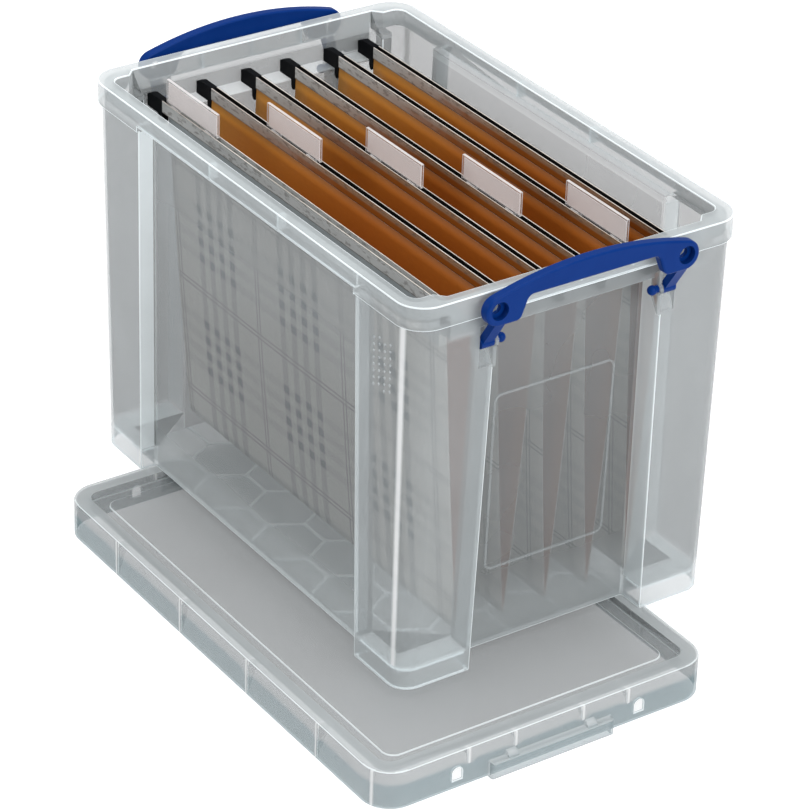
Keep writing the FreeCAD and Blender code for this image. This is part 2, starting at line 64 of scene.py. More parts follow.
class Value:                  # one socket that takes part in plain sums
    def __init__(self, finish, socket):
        self.finish = finish
        self.socket = socket

    def calc(self, operation, *values):
        return self.finish.add("ShaderNodeMath", {"operation": operation}, dict(enumerate(values)))

    def __add__(self, other):
        return self.calc("ADD", self, other)

    def __radd__(self, other):
        return self.calc("ADD", other, self)

    def __sub__(self, other):
        return self.calc("SUBTRACT", self, other)

    def __rsub__(self, other):
        return self.calc("SUBTRACT", other, self)

    def __mul__(self, other):
        return self.calc("MULTIPLY", self, other)

    def __rmul__(self, other):
        return self.calc("MULTIPLY", other, self)

    def __truediv__(self, other):
        return self.calc("DIVIDE", self, other)

    def __rtruediv__(self, other):
        return self.calc("DIVIDE", other, self)

    def __mod__(self, other):
        return self.calc("FLOORED_MODULO", self, other)

    def __lt__(self, other):
        return self.calc("LESS_THAN", self, other)

    def __gt__(self, other):
        return self.calc("GREATER_THAN", self, other)

    def __abs__(self):
        return self.calc("ABSOLUTE", self)

    def between(self, low, high):    # 0 at low, 1 at high, soft in the middle
        return self.finish.add("ShaderNodeMapRange", {"interpolation_type": "SMOOTHSTEP"},
                               {"Value": self, "From Min": low, "From Max": high})

    def near(self, place, half, soft):    # 1 within half of the place
        return 1 - abs(self - place).between(half - soft, half + soft)

    def around(self, middle, spread):    # a noise of 0 to 1 as a value that wanders about its middle
        return middle + spread * (self - 0.5)


class Finish:                 # one material, built node by node
    def __init__(self, name, constants):
        self.material = bpy.data.materials.new(name)
        self.material.use_nodes = True
        self.tree = self.material.node_tree
        self.shader = self.tree.nodes["Principled BSDF"]
        self.place = self.add("ShaderNodeTexCoord", out="Object")
        for socket, value in constants.items():
            self.feed(socket, value)

    def add(self, kind, settings={}, values={}, out=0):
        node = self.tree.nodes.new(kind)
        for key, setting in settings.items():
            setattr(node, key, setting)
        for key, value in values.items():
            self.join(value, node.inputs[key])
        return Value(self, node.outputs[out])

    def join(self, value, socket):
        if isinstance(value, Value):
            self.tree.links.new(value.socket, socket)
        else:
            socket.default_value = value

    def feed(self, socket, value):
        self.join(value, self.shader.inputs[socket])

    def mix(self, share, first, second):
        return self.add("ShaderNodeMix", {"data_type": "RGBA"}, {0: share, 6: first, 7: second}, out=2)

    def noise(self, scale, detail, stretch=None):
        place = self.place
        if stretch:
            place = self.add("ShaderNodeMapping", {}, {"Vector": place, "Scale": stretch})
        return self.add("ShaderNodeTexNoise", {}, {"Vector": place, "Scale": scale, "Detail": detail})

    def axis(self, letter):
        return self.add("ShaderNodeSeparateXYZ", {}, {0: self.place}, out=letter)

    def ray(self, kind):      # 1 for rays of that kind
        return self.add("ShaderNodeLightPath", out="Is " + kind + " Ray")

    def bump(self, height, depth, strength):
        values = {"Strength": strength, "Distance": depth, "Height": height}
        self.feed("Normal", self.add("ShaderNodeBump", {}, values))


# In every look a noise is its scale, detail and perhaps stretch, bump is its depth and strength,
# and rough and alpha may be a middle and a spread.
# Translucent plastic: level is how pale it is, alpha how much of it shows, cool how short of red it is,
# lit how far light passes it freely. The top and foot values are what a wall turns to there.
# The zones are lit and shaded copies of one plastic: the darker ones (the tub's lining, hollows and end
# panels, the lid's skirt) hold painted shade, and the paler ones (most of all the tub's edges, returns, foot,
# floor and rim, and the lid's rim, edges and webs) hold painted light and highlight.
plasticLook = {
    "tub": {"wall": {"level": 0.39, "alpha": 0.39, "footLevel": 0.70},
            "panel": {"level": 0.28, "alpha": 0.55, "footLevel": 0.42},
            "lining": {"level": 0.06, "alpha": 0.55, "cool": -0.03, "topLevel": 0.22, "topAlpha": 0.59},
            "frame": {"level": 0.50, "alpha": 0.30},
            "column": {"level": 0.46, "alpha": 0.45},
            "hollow": {"level": 0.16, "alpha": 0.44},
            "return": {"level": 0.98, "alpha": 0.74},
            "foot": {"level": 0.98, "alpha": 0.72},
            "footWall": {"level": 0.54, "alpha": 0.42},
            "floor": {"level": 0.78, "alpha": 0.58, "lit": 0.4},
            "ledge": {"level": 0.42, "alpha": 0.50},
            "collar": {"level": 0.38, "alpha": 0.48},
            "skirt": {"level": 0.52, "alpha": 0.46},
            "rim": {"level": 0.56, "alpha": 0.50},
            "edge": {"level": 0.98, "alpha": 0.82}},
    "lid": {"wall": {"level": 0.26, "alpha": 0.46, "lit": 0.4},
            "rim": {"level": 0.52, "alpha": 0.50},
            "edge": {"level": 0.82, "alpha": 0.72},
            "ledge": {"level": 0.40, "alpha": 0.40, "cool": 0.16},
            "web": {"level": 0.9, "alpha": 0.10},
            "skirt": {"level": 0.17, "alpha": 0.46, "cool": 0.45, "topLevel": 0.34}}}
surfaceLook = {"shader": {"IOR": 1.49, "Specular IOR Level": 0.10}, "lit": 0.8, "cool": 0.07, "coolBlue": 0.3,
               "lineCool": 0.02, "cloud": (9.0, 3.0), "cloudRange": (0.3, 0.7), "mottle": 0.06, "haze": 0.04,
               "ragged": (30.0, 3.0), "scuff": (160.0, 4.0), "rough": (0.34, 0.05), "peel": (260.0, 2.0),
               "bump": (0.00002, 0.08)}
# heights between which a wall turns from its own look to its top or foot look, and how ragged that line is;
# the turns are painted light: the lining paler towards the open top, walls and panels paler at the foot,
# the lid's skirt paler in a band along its top
fadeLook = {"tub_lining": {"to": "topLevel", "low": 150.0, "high": 230.0, "ragged": 0.0},
            "tub_wall": {"to": "footLevel", "low": 50.0, "high": 10.0, "ragged": 0.0},
            "tub_panel": {"to": "footLevel", "low": 60.0, "high": 10.0, "ragged": 0.0},
            "lid_skirt": {"to": "topLevel", "low": 16.5, "high": 19.5, "ragged": 4.0}}
# painted highlight strip down each round corner: corner sizes at the top and how they shrink to the foot
cornerHighlightLook = {"tub": {"turn": 0.38, "half": 0.13, "soft": 0.09, "level": 0.88, "alpha": 0.36, "height": 282.5,
                     "endX": 195.5, "sideY": 126.0, "leanX": 6.0, "leanY": 2.5, "radius": 20.0,
                     "shrink": 5.0},
             "lid": {"turn": 0.44, "half": 0.07, "soft": 0.05, "level": 0.75, "alpha": 0.26, "height": 28.5,
                     "endX": 200.0, "sideY": 130.0, "leanX": 0.0, "leanY": 0.0, "radius": 21.0,
                     "shrink": 0.0}}


def pale(level, cool):        # a nearly neutral tint, a little short of red
    return (level * (1 - cool), level, level * (1 + surfaceLook["coolBlue"] * cool), 1)


def cornerHighlight(finish, look, base):
    drop = 1 - (finish.axis("Z") - base.z) / (look["height"] * mm)
    radius = look["radius"] - look["shrink"] * drop
    alongX = abs(finish.axis("X") - base.x) / mm - (look["endX"] - look["leanX"] * drop - radius)
    alongY = abs(finish.axis("Y") - base.y) / mm - (look["sideY"] - look["leanY"] * drop - radius)
    return (alongX / alongY).near(look["turn"], look["half"], look["soft"]) * (alongX > 0) * (alongY > 0)


# painted highlight: a pale line on the lid's skirt over each rib, and how far the skirt's paler top band
# reaches down beside it
lidRibLook = {"pitch": 84.0, "sideY": 119.0, "ends": (26.5, 62.5), "half": 1.0, "soft": 0.6, "level": 0.70,
              "alpha": 0.24, "arch": 7.0, "archDrop": 3.0, "endFoot": (15.5, 16.5)}


def lidRibs(finish, half, soft):
    look = lidRibLook
    alongX = (finish.axis("X") - lidBase.x) / mm
    acrossY = abs(finish.axis("Y") - lidBase.y) / mm
    onSide = acrossY > look["sideY"]
    sideRibs = (alongX % look["pitch"]).near(look["pitch"] / 2, half, soft)
    endRibs = acrossY.near(look["ends"][0], half, soft) + acrossY.near(look["ends"][1], half, soft)
    above = ((finish.axis("Z") - lidBase.z) / mm).between(*look["endFoot"])
    return onSide * sideRibs + (1 - onSide) * endRibs * above


def clearPlastic(name, look, base):
    surface = surfaceLook
    finish = Finish(name, surface["shader"])
    cool = look.get("cool", surface["cool"])
    cloud = finish.noise(*surface["cloud"])
    dull, bright = (pale(look["level"] * (1 + way * surface["mottle"]), cool) for way in (-1, 1))
    colour = finish.mix(cloud.between(*surface["cloudRange"]), dull, bright)
    alpha = cloud.around(look["alpha"], surface["haze"])
    # painted light by height: paler up the lining and the lid's skirt, paler at the foot of walls and panels
    if name in fadeLook:
        fade = fadeLook[name]
        height = (finish.axis("Z") - base.z) / mm
        height = finish.noise(*surface["ragged"]).around(height, fade["ragged"])
        if name == "lid_skirt":
            arch = lidRibLook["arch"] / 2
            height = height + lidRibLook["archDrop"] * lidRibs(finish, arch, arch)
        turned = height.between(fade["low"], fade["high"])
        colour = finish.mix(turned, colour, pale(look[fade["to"]], surface["cool"]))
        alpha = alpha + turned * (look.get("topAlpha", look["alpha"]) - look["alpha"])
    # painted highlight line over each of the lid's ribs
    if name == "lid_skirt":
        rib = lidRibs(finish, lidRibLook["half"], lidRibLook["soft"])
        colour = finish.mix(rib, colour, pale(lidRibLook["level"], surface["lineCool"]))
        alpha = alpha + rib * lidRibLook["alpha"]
    # painted highlight strip down each round corner of the tub's columns and the lid's skirt
    if name in ("tub_column", "lid_skirt"):
        corner = cornerHighlightLook[name.split("_")[0]]
        strip = cornerHighlight(finish, corner, base)
        colour = finish.mix(strip, colour, pale(corner["level"], surface["lineCool"]))
        alpha = alpha + strip * corner["alpha"]
    finish.feed("Base Color", colour)
    finish.feed("Alpha", alpha * (1 - look.get("lit", surface["lit"]) * finish.ray("Shadow")))
    finish.feed("Roughness", finish.noise(*surface["scuff"]).around(*surface["rough"]))
    finish.bump(finish.noise(*surface["peel"]), *surface["bump"])
    return finish.material


plastic = {part: {kind: clearPlastic(part + "_" + kind, look, base)
                  for kind, look in plasticLook[part].items()}
           for part, base in (("tub", tubBase), ("lid", lidBase))}


# Blue handle plastic
handleLook = {"shader": {"IOR": 1.5, "Specular IOR Level": 0.06}, "mottle": (60.0, 3.0),
              "colours": (rgb(4, 44, 112), rgb(9, 51, 121)), "wear": (220.0, 4.0), "rough": (0.30, 0.10),
              "grain": (900.0, 2.0), "bump": (0.00005, 0.5)}


def handleBlue():
    look = handleLook
    finish = Finish("handle_blue", look["shader"])
    finish.feed("Base Color", finish.mix(finish.noise(*look["mottle"]), *look["colours"]))
    finish.feed("Roughness", finish.noise(*look["wear"]).around(*look["rough"]))
    finish.bump(finish.noise(*look["grain"]), *look["bump"])
    return finish.material


# Black hooks at the runners' ends
hookLook = {"shader": {"IOR": 1.5, "Specular IOR Level": 0.02}, "mottle": (150.0, 3.0),
            "colours": ((0.003, 0.0035, 0.0045, 1), (0.008, 0.0085, 0.010, 1)), "rough": (0.42, 0.12),
            "grain": (1200.0, 2.0), "bump": (0.00004, 0.5)}


def hookBlack():
    look = hookLook
    finish = Finish("hook_black", look["shader"])
    mottle = finish.noise(*look["mottle"])
    finish.feed("Base Color", finish.mix(mottle, *look["colours"]))
    finish.feed("Roughness", mottle.around(*look["rough"]))
    finish.bump(finish.noise(*look["grain"]), *look["bump"])
    return finish.material


# Zinc steel, turned brown along its length by a painted reflection of the amber cards, with the amber card
# low on its face and a painted shadow under the runner along the bottom of its face
steelLook = {"shader": {"Metallic": 0.35}, "streak": (900.0, 3.0, (0.02, 1.0, 1.0)), "blotch": (45.0, 4.0),
             "greys": ((0.44, 0.45, 0.44, 1), (0.58, 0.58, 0.57, 1)),
             "browns": ((0.31, 0.20, 0.12, 1), (0.42, 0.29, 0.18, 1)), "wander": 90,
             "turn": {"runner_zinc": (-130, 10), "runner_zinc_plain": (260, 400)},
             "fleck": (420.0, 4.0, (0.4, 1.0, 1.0)), "fleckRange": (0.52, 0.66), "fleckShare": 0.6,
             "fleckColour": (0.15, 0.135, 0.12, 1),
             "amberRange": (-3.4, -5.0), "amber": (0.34, 0.112, 0.014, 1),
             "underShadowRange": (-7.7, -8.4), "underShadowShare": 0.85, "underShadowColour": (0.06, 0.032, 0.014, 1),
             "rough": (0.36, 0.16), "bump": (0.00003, 0.4)}
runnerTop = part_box("runner_1")[1].z


def runnerSteel(name):
    look = steelLook
    finish = Finish(name, look["shader"])
    streak = finish.noise(*look["streak"])
    blotch = finish.noise(*look["blotch"])
    grey = finish.mix(streak, *look["greys"])
    brown = finish.mix(streak, *look["browns"])
    # painted reflection of the amber cards: the grey turns brown further along the runner
    along = blotch.around((finish.axis("X") - tubBase.x) / mm, look["wander"])
    turned = along.between(*look["turn"][name])
    colour = finish.mix(turned, grey, brown)
    fleck = finish.noise(*look["fleck"]).between(*look["fleckRange"])
    colour = finish.mix(fleck * look["fleckShare"], colour, look["fleckColour"])
    height = (finish.axis("Z") - runnerTop) / mm
    colour = finish.mix(height.between(*look["amberRange"]) * turned, colour, look["amber"])
    # painted shadow under the runner, dark along the bottom of its face
    lowEdge = height.between(*look["underShadowRange"]) * look["underShadowShare"]
    finish.feed("Base Color", finish.mix(lowEdge, colour, look["underShadowColour"]))
    finish.feed("Roughness", blotch.around(*look["rough"]))
    finish.bump(streak, *look["bump"])
    return finish.material


# Clear tab sleeves
sleeveLook = {"shader": {"IOR": 1.5}, "smear": (70.0, 3.0), "alpha": (0.16, 0.06), "rough": (0.12, 0.10),
              "colours": ((0.70, 0.68, 0.68, 1), (0.82, 0.80, 0.80, 1))}


def tabClear():
    look = sleeveLook
    finish = Finish("tab_clear", look["shader"])
    smear = finish.noise(*look["smear"])
    finish.feed("Base Color", finish.mix(smear, *look["colours"]))
    finish.feed("Alpha", smear.around(*look["alpha"]))
    finish.feed("Roughness", smear.around(*look["rough"]))
    return finish.material


# White cards in the sleeves
labelLook = {"shader": {"Roughness": 0.7}, "fibre": (700.0, 4.0), "bump": (0.00003, 0.4),
             "colours": (rgb(246, 237, 235), rgb(253, 246, 244))}


def cardWhite():
    look = labelLook
    finish = Finish("card_white", look["shader"])
    fibre = finish.noise(*look["fibre"])
    finish.feed("Base Color", finish.mix(fibre, *look["colours"]))
    finish.bump(fibre, *look["bump"])
    return finish.material


blue = handleBlue()
black = hookBlack()
steel = runnerSteel("runner_zinc")
plainSteel = runnerSteel("runner_zinc_plain")
sleeve = tabClear()
white = cardWhite()
nodeFinish = {"right": blue, "left": blue, "hook": black, "card": white}    # by a node name's first word
for name, node in nodes.items():
    finish = nodeFinish.get(name.split("_")[0])
    if finish:
        node.data.materials.clear()
        node.data.materials.append(finish)
print("finishes: handles, hooks and cards dressed")


def newPiece(name, bm, materials, body):
    mesh = bpy.data.meshes.new(name)
    bm.to_mesh(mesh)
    bm.free()
    for material in materials:
        mesh.materials.append(material)
    piece = bpy.data.objects.new(name, mesh)
    bpy.context.scene.collection.objects.link(piece)
    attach(piece, body)
    return piece


def smoothFaces(piece):
    for face in piece.data.polygons:
        face.use_smooth = True


# Steps that several pieces share
mergeGap = 0.002 * mm


def copyNode(node, flat):     # a node's loose triangles merged, and joined where flat within so many degrees
    bm = bmesh.new()
    bm.from_mesh(nodes[node].data)
    bmesh.ops.remove_doubles(bm, verts=bm.verts, dist=mergeGap)
    bmesh.ops.dissolve_limit(bm, angle_limit=math.radians(flat), verts=bm.verts, edges=bm.edges)
    return bm


def softenEdges(bm, edges, width, clamp):
    made = bmesh.ops.bevel(bm, geom=edges, offset=width, offset_type="OFFSET", affect="EDGES", segments=2,
                           profile=0.5, material=-1, clamp_overlap=clamp)
    return made["faces"]


def cutAt(bm, place, normal, gap=0.0, clearOuter=False):
    geom = bm.verts[:] + bm.edges[:] + bm.faces[:]
    bmesh.ops.bisect_plane(bm, geom=geom, dist=gap, plane_co=place, plane_no=normal, clear_outer=clearOuter)


def raiseFaces(bm, height):   # gives a flat pattern its thickness
    raised = bmesh.ops.extrude_face_region(bm, geom=bm.faces[:])["geom"]
    corners = [v for v in raised if isinstance(v, bmesh.types.BMVert)]
    bmesh.ops.translate(bm, verts=corners, vec=(0, 0, height))
    bmesh.ops.recalc_face_normals(bm, faces=bm.faces)


# Tub and lid again with softened edges, each face in the finish of its zone; angles in degrees
shellLook = {"soften": 0.8 * mm, "sharp": 28.0, "flat": 0.4, "thin": 2.3 * mm, "even": 24.0}


def evenShading(piece):
    smoothFaces(piece)
    piece.data.set_sharp_from_angle(angle=math.radians(shellLook["even"]))
    even = piece.modifiers.new("even_normals", "WEIGHTED_NORMAL")
    even.keep_sharp = True


def softShell(name, node, body, base, cuts, zoneOf):
    look = shellLook
    bm = copyNode(node, look["flat"])
    mark = bm.faces.layers.int.new("soft")
    sharp = [e for e in bm.edges if e.is_manifold and e.is_convex
             and e.calc_face_angle() > math.radians(look["sharp"])]
    for face in softenEdges(bm, sharp, look["soften"], False):
        face[mark] = 1
    low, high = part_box(node)
    for vert in bm.verts:        # softened corners stay within the solid's own box
        vert.co = [min(max(v, least), most) for v, least, most in zip(vert.co, low, high)]
    for height in cuts:
        cutAt(bm, base + Vector((0, 0, height * mm)), (0, 0, 1), mergeGap)
    slots = list(plastic[node])
    for face in bm.faces:
        longest = max(e.calc_length() for e in face.edges)
        thin = face.calc_area() < look["thin"] * longest
        place = face.calc_center_median() - base
        inward = face.normal.x * place.x + face.normal.y * place.y < 0
        x, y, z = (abs(v) / mm for v in place)
        zone = zoneOf(x, y, z, [abs(v) for v in face.normal], inward, thin, face[mark])
        face.material_index = slots.index(zone)
    bm.faces.layers.int.remove(mark)
    bmesh.ops.remove_doubles(bm, verts=bm.verts, dist=mergeGap)
    bmesh.ops.dissolve_degenerate(bm, dist=mergeGap, edges=bm.edges)
    print(name, "faces", len(bm.faces), "open edges", sum(not e.is_manifold for e in bm.edges))
    piece = newPiece(name, bm, plastic[node].values(), body)
    evenShading(piece)
    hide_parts(node)


# zone limits in millimetres from the middle of the foot; upright, facing and slope are shares of a normal
tubZones = {"cornerX": 168, "cornerY": 100, "returnX": (120, 145), "returnY": (55, 75), "columnFloor": 17,
            "columnX": 129, "columnY": 62, "floor": 4, "rim": 266, "collarX": 189, "collarY": 118, "top": 280,
            "notchX": 180, "notchY": (58, 84), "notchZ": 220, "rail": (251, 256),
            "upright": 0.35, "facing": 0.9}
lidZones = {"webX": 188, "webY": 119, "band": 27, "ledge": 200.5,
            "upright": 0.5, "facing": 0.9, "slope": (0.5, 0.8)}


def tubZone(x, y, z, normal, inward, thin, soft):
    zones = tubZones
    nx, ny, nz = normal
    upright = nz < zones["upright"]
    facesEnd, facesSide = nx > zones["facing"], ny > zones["facing"]
    if z > zones["rim"]:
        if x < zones["collarX"] and y < zones["collarY"] and z < zones["top"]:
            return "collar" if upright else "lining"
        web = (facesEnd and x < zones["returnX"][0]) or (facesSide and y < zones["returnY"][0])
        return "edge" if web or soft else "skirt" if upright else "rim"
    if x > zones["notchX"] and zones["notchY"][0] < y < zones["notchY"][1] and z > zones["notchZ"]:
        return "column" if upright else "wall"
    if upright and x > zones["cornerX"] and y > zones["cornerY"] and z > zones["columnFloor"]:
        return "hollow" if inward else "column"
    if thin and not upright and zones["rail"][0] < z < zones["rail"][1]:
        return "ledge"
    if soft or (thin and not upright):
        return "edge"
    inColumn = x > zones["columnX"] and y > zones["columnY"]
    if z < zones["columnFloor"] and inColumn:
        return "footWall" if upright else "foot"
    if upright:
        endReturn = facesSide and x > zones["cornerX"] and zones["returnY"][0] < y < zones["returnY"][1]
        sideReturn = facesEnd and y > zones["cornerY"] and zones["returnX"][0] < x < zones["returnX"][1]
        if endReturn or sideReturn:
            return "return" if inward else "column"
        if inColumn:
            return "hollow" if inward else "column"
        return "lining" if inward else "panel" if x > zones["cornerX"] else "wall"
    return "floor" if z < zones["floor"] else "ledge"


def lidZone(x, y, z, normal, inward, thin, soft):
    zones = lidZones
    nx, ny, nz = normal
    upright = nz < zones["upright"]
    if x > zones["ledge"]:
        return "ledge" if upright else "rim"
    sideWeb = nx > zones["facing"] and y > zones["webY"] and x < zones["webX"]
    endWeb = ny > zones["facing"] and x > zones["webX"] and y < zones["webY"]
    if sideWeb or endWeb:
        return "web"
    if (soft and z < zones["band"]) or (thin and zones["slope"][0] < nz < zones["slope"][1]):
        return "edge"
    if upright:
        return "skirt"
    return "rim" if z > zones["band"] else "wall"


softShell("tub_shell", "tub", "box", tubBase, [tubZones["rim"], tubZones["columnFloor"]], tubZone)
softShell("lid_shell", "lid", "lid", lidBase, [], lidZone)


# Card pockets hung between the runners: amber inside, a pale check outside
pocketLook = {"count": 5, "top": 256.4, "apex": 16.9, "halfOpen": 17.0, "reach": 166.4, "inset": 2.1,
              "sheet": 0.8, "fold": 0.6, "foldLine": 1e-6, "bow": 1.6, "wave": 0.5, "waves": 3,
              "endCalm": 0.35, "across": 20, "down": 28, "lit": 0.8}
panelLength = math.hypot(pocketLook["top"] - pocketLook["apex"], pocketLook["halfOpen"])


def sheetPlace(finish):       # millimetres along the sheet from its middle, and down from its upper edge
    sheet = finish.add("ShaderNodeUVMap", {"uv_map": "print"})
    across = finish.add("ShaderNodeSeparateXYZ", {}, {0: sheet}, out="X")
    down = finish.add("ShaderNodeSeparateXYZ", {}, {0: sheet}, out="Y")
    return (across - 0.5) * (2 * pocketLook["reach"]), (0.5 - abs(down - 0.5)) * (2 * panelLength)


amberLook = {"shader": {"Roughness": 0.55, "Specular IOR Level": 0.3}, "fibre": (500.0, 4.0, (0.4, 1.0, 1.0)),
             "blotch": (12.0, 3.0), "goldens": (rgb(192, 131, 47), rgb(204, 142, 55)),
             "browns": (rgb(170, 97, 28), rgb(182, 107, 34)), "wander": 60, "turn": (-190, 40),
             "shade": 6.0, "shadeShare": 0.5, "shadeColour": rgb(70, 36, 14), "bump": (0.00004, 0.15)}


def cardAmber():
    look = amberLook
    finish = Finish("card_amber", look["shader"])
    across, down = sheetPlace(finish)
    fibre = finish.noise(*look["fibre"])
    blotch = finish.noise(*look["blotch"])
    golden = finish.mix(fibre, *look["goldens"])
    brown = finish.mix(fibre, *look["browns"])
    colour = finish.mix(blotch.around(across, look["wander"]).between(*look["turn"]), golden, brown)
    shade = (1 - down.between(0, look["shade"])) * look["shadeShare"]
    finish.feed("Base Color", finish.mix(shade, colour, look["shadeColour"]))
    finish.feed("Alpha", 1 - pocketLook["lit"] * finish.ray("Shadow"))
    finish.bump(fibre, *look["bump"])
    return finish.material


# stripes in pairs both ways, dark squares where they cross, and a thin line between the bands
checkLook = {"shader": {"Roughness": 0.6, "Specular IOR Level": 0.3}, "soft": 0.3,
             "startAcross": -58.0, "pitchAcross": 104.5, "stripeAcross": 13.8, "shareAcross": 0.4,
             "startDown": 33.5, "pitchDown": 92.0, "stripeDown": 12.8, "shareDown": 0.2,
             "stripeHalf": 3.3, "lineGap": 1.7, "lineHalf": 0.6, "lineSoft": 0.25, "lineShare": 0.8,
             "line": rgb(84, 66, 72), "square": rgb(34, 48, 56), "fibre": (600.0, 4.0), "fibreShare": 0.25,
             "ground": (rgb(232, 228, 221), rgb(214, 209, 200)), "margin": (12.5, 13.5),
             "marginColours": (rgb(150, 158, 162), rgb(172, 178, 180)), "bump": (0.00003, 0.4)}


def cardCheck():
    look = checkLook
    finish = Finish("card_check", look["shader"])
    across, down = sheetPlace(finish)
    masks = []
    for run, way in ((across, "Across"), (down, "Down")):
        pitch, stripe = look["pitch" + way], look["stripe" + way]
        fromMiddle = abs((run - look["start" + way]) % pitch - pitch / 2)
        inBand = 1 - fromMiddle.between(2 * stripe - look["soft"], 2 * stripe + look["soft"])
        stripes = (fromMiddle % stripe).near(stripe / 2, look["stripeHalf"], look["soft"]) * inBand
        line = (pitch / 2 - fromMiddle).near(look["lineGap"], look["lineHalf"], look["lineSoft"])
        masks.append((stripes, line))
    (stripeAcross, lineAcross), (stripeDown, lineDown) = masks
    fibre = finish.noise(*look["fibre"])
    colour = finish.mix(fibre * look["fibreShare"], *look["ground"])
    colour = finish.mix(stripeAcross * look["shareAcross"], colour, look["square"])
    colour = finish.mix(stripeDown * look["shareDown"], colour, look["square"])
    colour = finish.mix(stripeAcross * stripeDown, colour, look["square"])
    lines = lineAcross.calc("MAXIMUM", lineAcross, lineDown)
    colour = finish.mix(lines * look["lineShare"], colour, look["line"])
    margin = 1 - down.between(*look["margin"])
    finish.feed("Base Color", finish.mix(margin, colour, finish.mix(fibre, *look["marginColours"])))
    finish.feed("Alpha", 1 - pocketLook["lit"] * finish.ray("Shadow"))
    finish.bump(fibre, *look["bump"])
    return finish.material


amber = cardAmber()
check = cardCheck()


def middleY(node):
    low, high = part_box(node)
    return (low.y + high.y) / 2


def hangPocket(number, nearY, farY):
    look = pocketLook
    bm = bmesh.new()
    bm.loops.layers.uv.new("print")
    bmesh.ops.create_grid(bm, x_segments=look["across"], y_segments=2 * look["down"], size=1.0, calc_uvs=True)
    middle = (nearY + farY) / 2
    half = (farY - nearY) / 2 - look["inset"] * mm
    fold = look["sheet"] * look["fold"] * mm
    for vert in bm.verts:        # along the file, and from its near top by the fold to its far top, -1 to 1
        along, side = vert.co.x, vert.co.y
        rise = abs(side)
        ripple = look["bow"] + look["wave"] * math.cos(look["waves"] * along + number)
        swell = math.sin(math.pi * rise) * ripple * mm
        spread = fold + (half - fold) * rise + swell * (1 - look["endCalm"] * along * along)
        x = tubBase.x + along * look["reach"] * mm
        y = middle + math.copysign(spread, side) if rise > look["foldLine"] else middle
        z = tubBase.z + (look["apex"] + (look["top"] - look["apex"]) * rise) * mm
        vert.co = (x, y, z)
    piece = newPiece("pocket_card_%d" % number, bm, [amber, check], "files")
    smoothFaces(piece)
    thick = piece.modifiers.new("sheet", "SOLIDIFY")
    thick.thickness = look["sheet"] * mm
    thick.offset = 0
    thick.material_offset = 1
    thick.material_offset_rim = 1
    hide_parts("pocket_%d" % number)


for number in range(1, pocketLook["count"] + 1):
    hangPocket(number, middleY("runner_%d" % number), middleY("runner_%d" % (number + 1)))
print("files: five card pockets hung")


# Runners again with a slot along the top painted dark as shade, a groove under each lip and a deeper face
# that carries a painted shadow; angles in degrees
runnerLook = {"flat": 1.0, "sharp": 57.0, "facing": 0.9, "soften": 0.15 * mm, "slotDepth": 1.0 * mm,
              "groove": (1.0 * mm, 1.8 * mm), "grooveEdge": 0.1 * mm, "sunk": 0.25 * mm, "lip": 1.0 * mm / 3,
              "lowEdge": 2.4 * mm}
# the slot's near-black is painted shade in it, mottled by a noise
slotLook = {"shader": {"Roughness": 0.6, "Specular IOR Level": 0.1}, "dustInShade": (300.0, 3.0),
            "colours": ((0.004, 0.004, 0.004, 1), (0.012, 0.011, 0.010, 1))}
# the lip's pale, warm colour is a painted highlight along its rounded top
lipLook = {"shader": {"Metallic": 0.3}, "wear": (160.0, 3.0, (0.1, 1.0, 1.0)), "wearRange": (0.35, 0.7),
           "colours": ((0.80, 0.74, 0.68, 1), (0.52, 0.47, 0.42, 1)), "rough": (0.35, 0.1)}


def slotDark():
    finish = Finish("runner_slot", slotLook["shader"])
    finish.feed("Base Color", finish.mix(finish.noise(*slotLook["dustInShade"]), *slotLook["colours"]))
    return finish.material


def lipHighlight():
    finish = Finish("runner_lip", lipLook["shader"])
    wear = finish.noise(*lipLook["wear"])
    finish.feed("Base Color", finish.mix(wear.between(*lipLook["wearRange"]), *lipLook["colours"]))
    finish.feed("Roughness", wear.around(*lipLook["rough"]))
    return finish.material


slotFinish = slotDark()
lipFinish = lipHighlight()


def softRunner(number):
    look = runnerLook
    node = "runner_%d" % number
    low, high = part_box(node)
    middle = (low + high) / 2
    bm = copyNode(node, look["flat"])
    lowEdge = [v for v in bm.verts if v.co.z < low.z + mergeGap]
    bmesh.ops.translate(bm, verts=lowEdge, vec=(0, 0, -look["lowEdge"]))
    lips = [e for e in bm.edges if e.is_convex and e.calc_face_angle() > math.radians(look["sharp"])]
    softenEdges(bm, lips, look["soften"], True)
    for depth in look["groove"]:
        cutAt(bm, high - Vector((0, 0, depth)), (0, 0, 1))
    groove = []
    for face in bm.faces:
        centre = face.calc_center_median()
        upright = abs(face.normal.y) > look["facing"]
        outward = face.normal.y * (centre.y - middle.y)
        under = high.z - centre.z
        inFloor = face.normal.z > look["facing"] and centre.z < high.z - look["slotDepth"]
        inSlot = inFloor or (upright and outward < 0)
        face.material_index = 2 if under < look["lip"] else 1 if inSlot else 0
        if upright and outward > 0 and look["groove"][0] < under < look["groove"][1]:
            groove.append(face)
    bmesh.ops.inset_region(bm, faces=groove, thickness=look["grooveEdge"], depth=-look["sunk"],
                           use_even_offset=True)
    finishes = [steel, slotFinish, lipFinish] if number > 1 else [plainSteel, plainSteel, lipFinish]
    piece = newPiece("runner_bar_%d" % number, bm, finishes, "files")
    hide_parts(node)


for number in range(1, pocketLook["count"] + 2):
    softRunner(number)


# Tab sleeves again with edges pale as a painted highlight; angles in degrees
tabLook = {"flat": 1.0, "sharp": 57.0, "facing": 0.9, "soften": 0.35 * mm}
tabEdgeLook = {"shader": {"Roughness": 0.25}, "smear": (90.0, 3.0), "alpha": (0.75, 0.1),
               "colours": ((0.62, 0.60, 0.60, 1), (0.88, 0.86, 0.86, 1))}


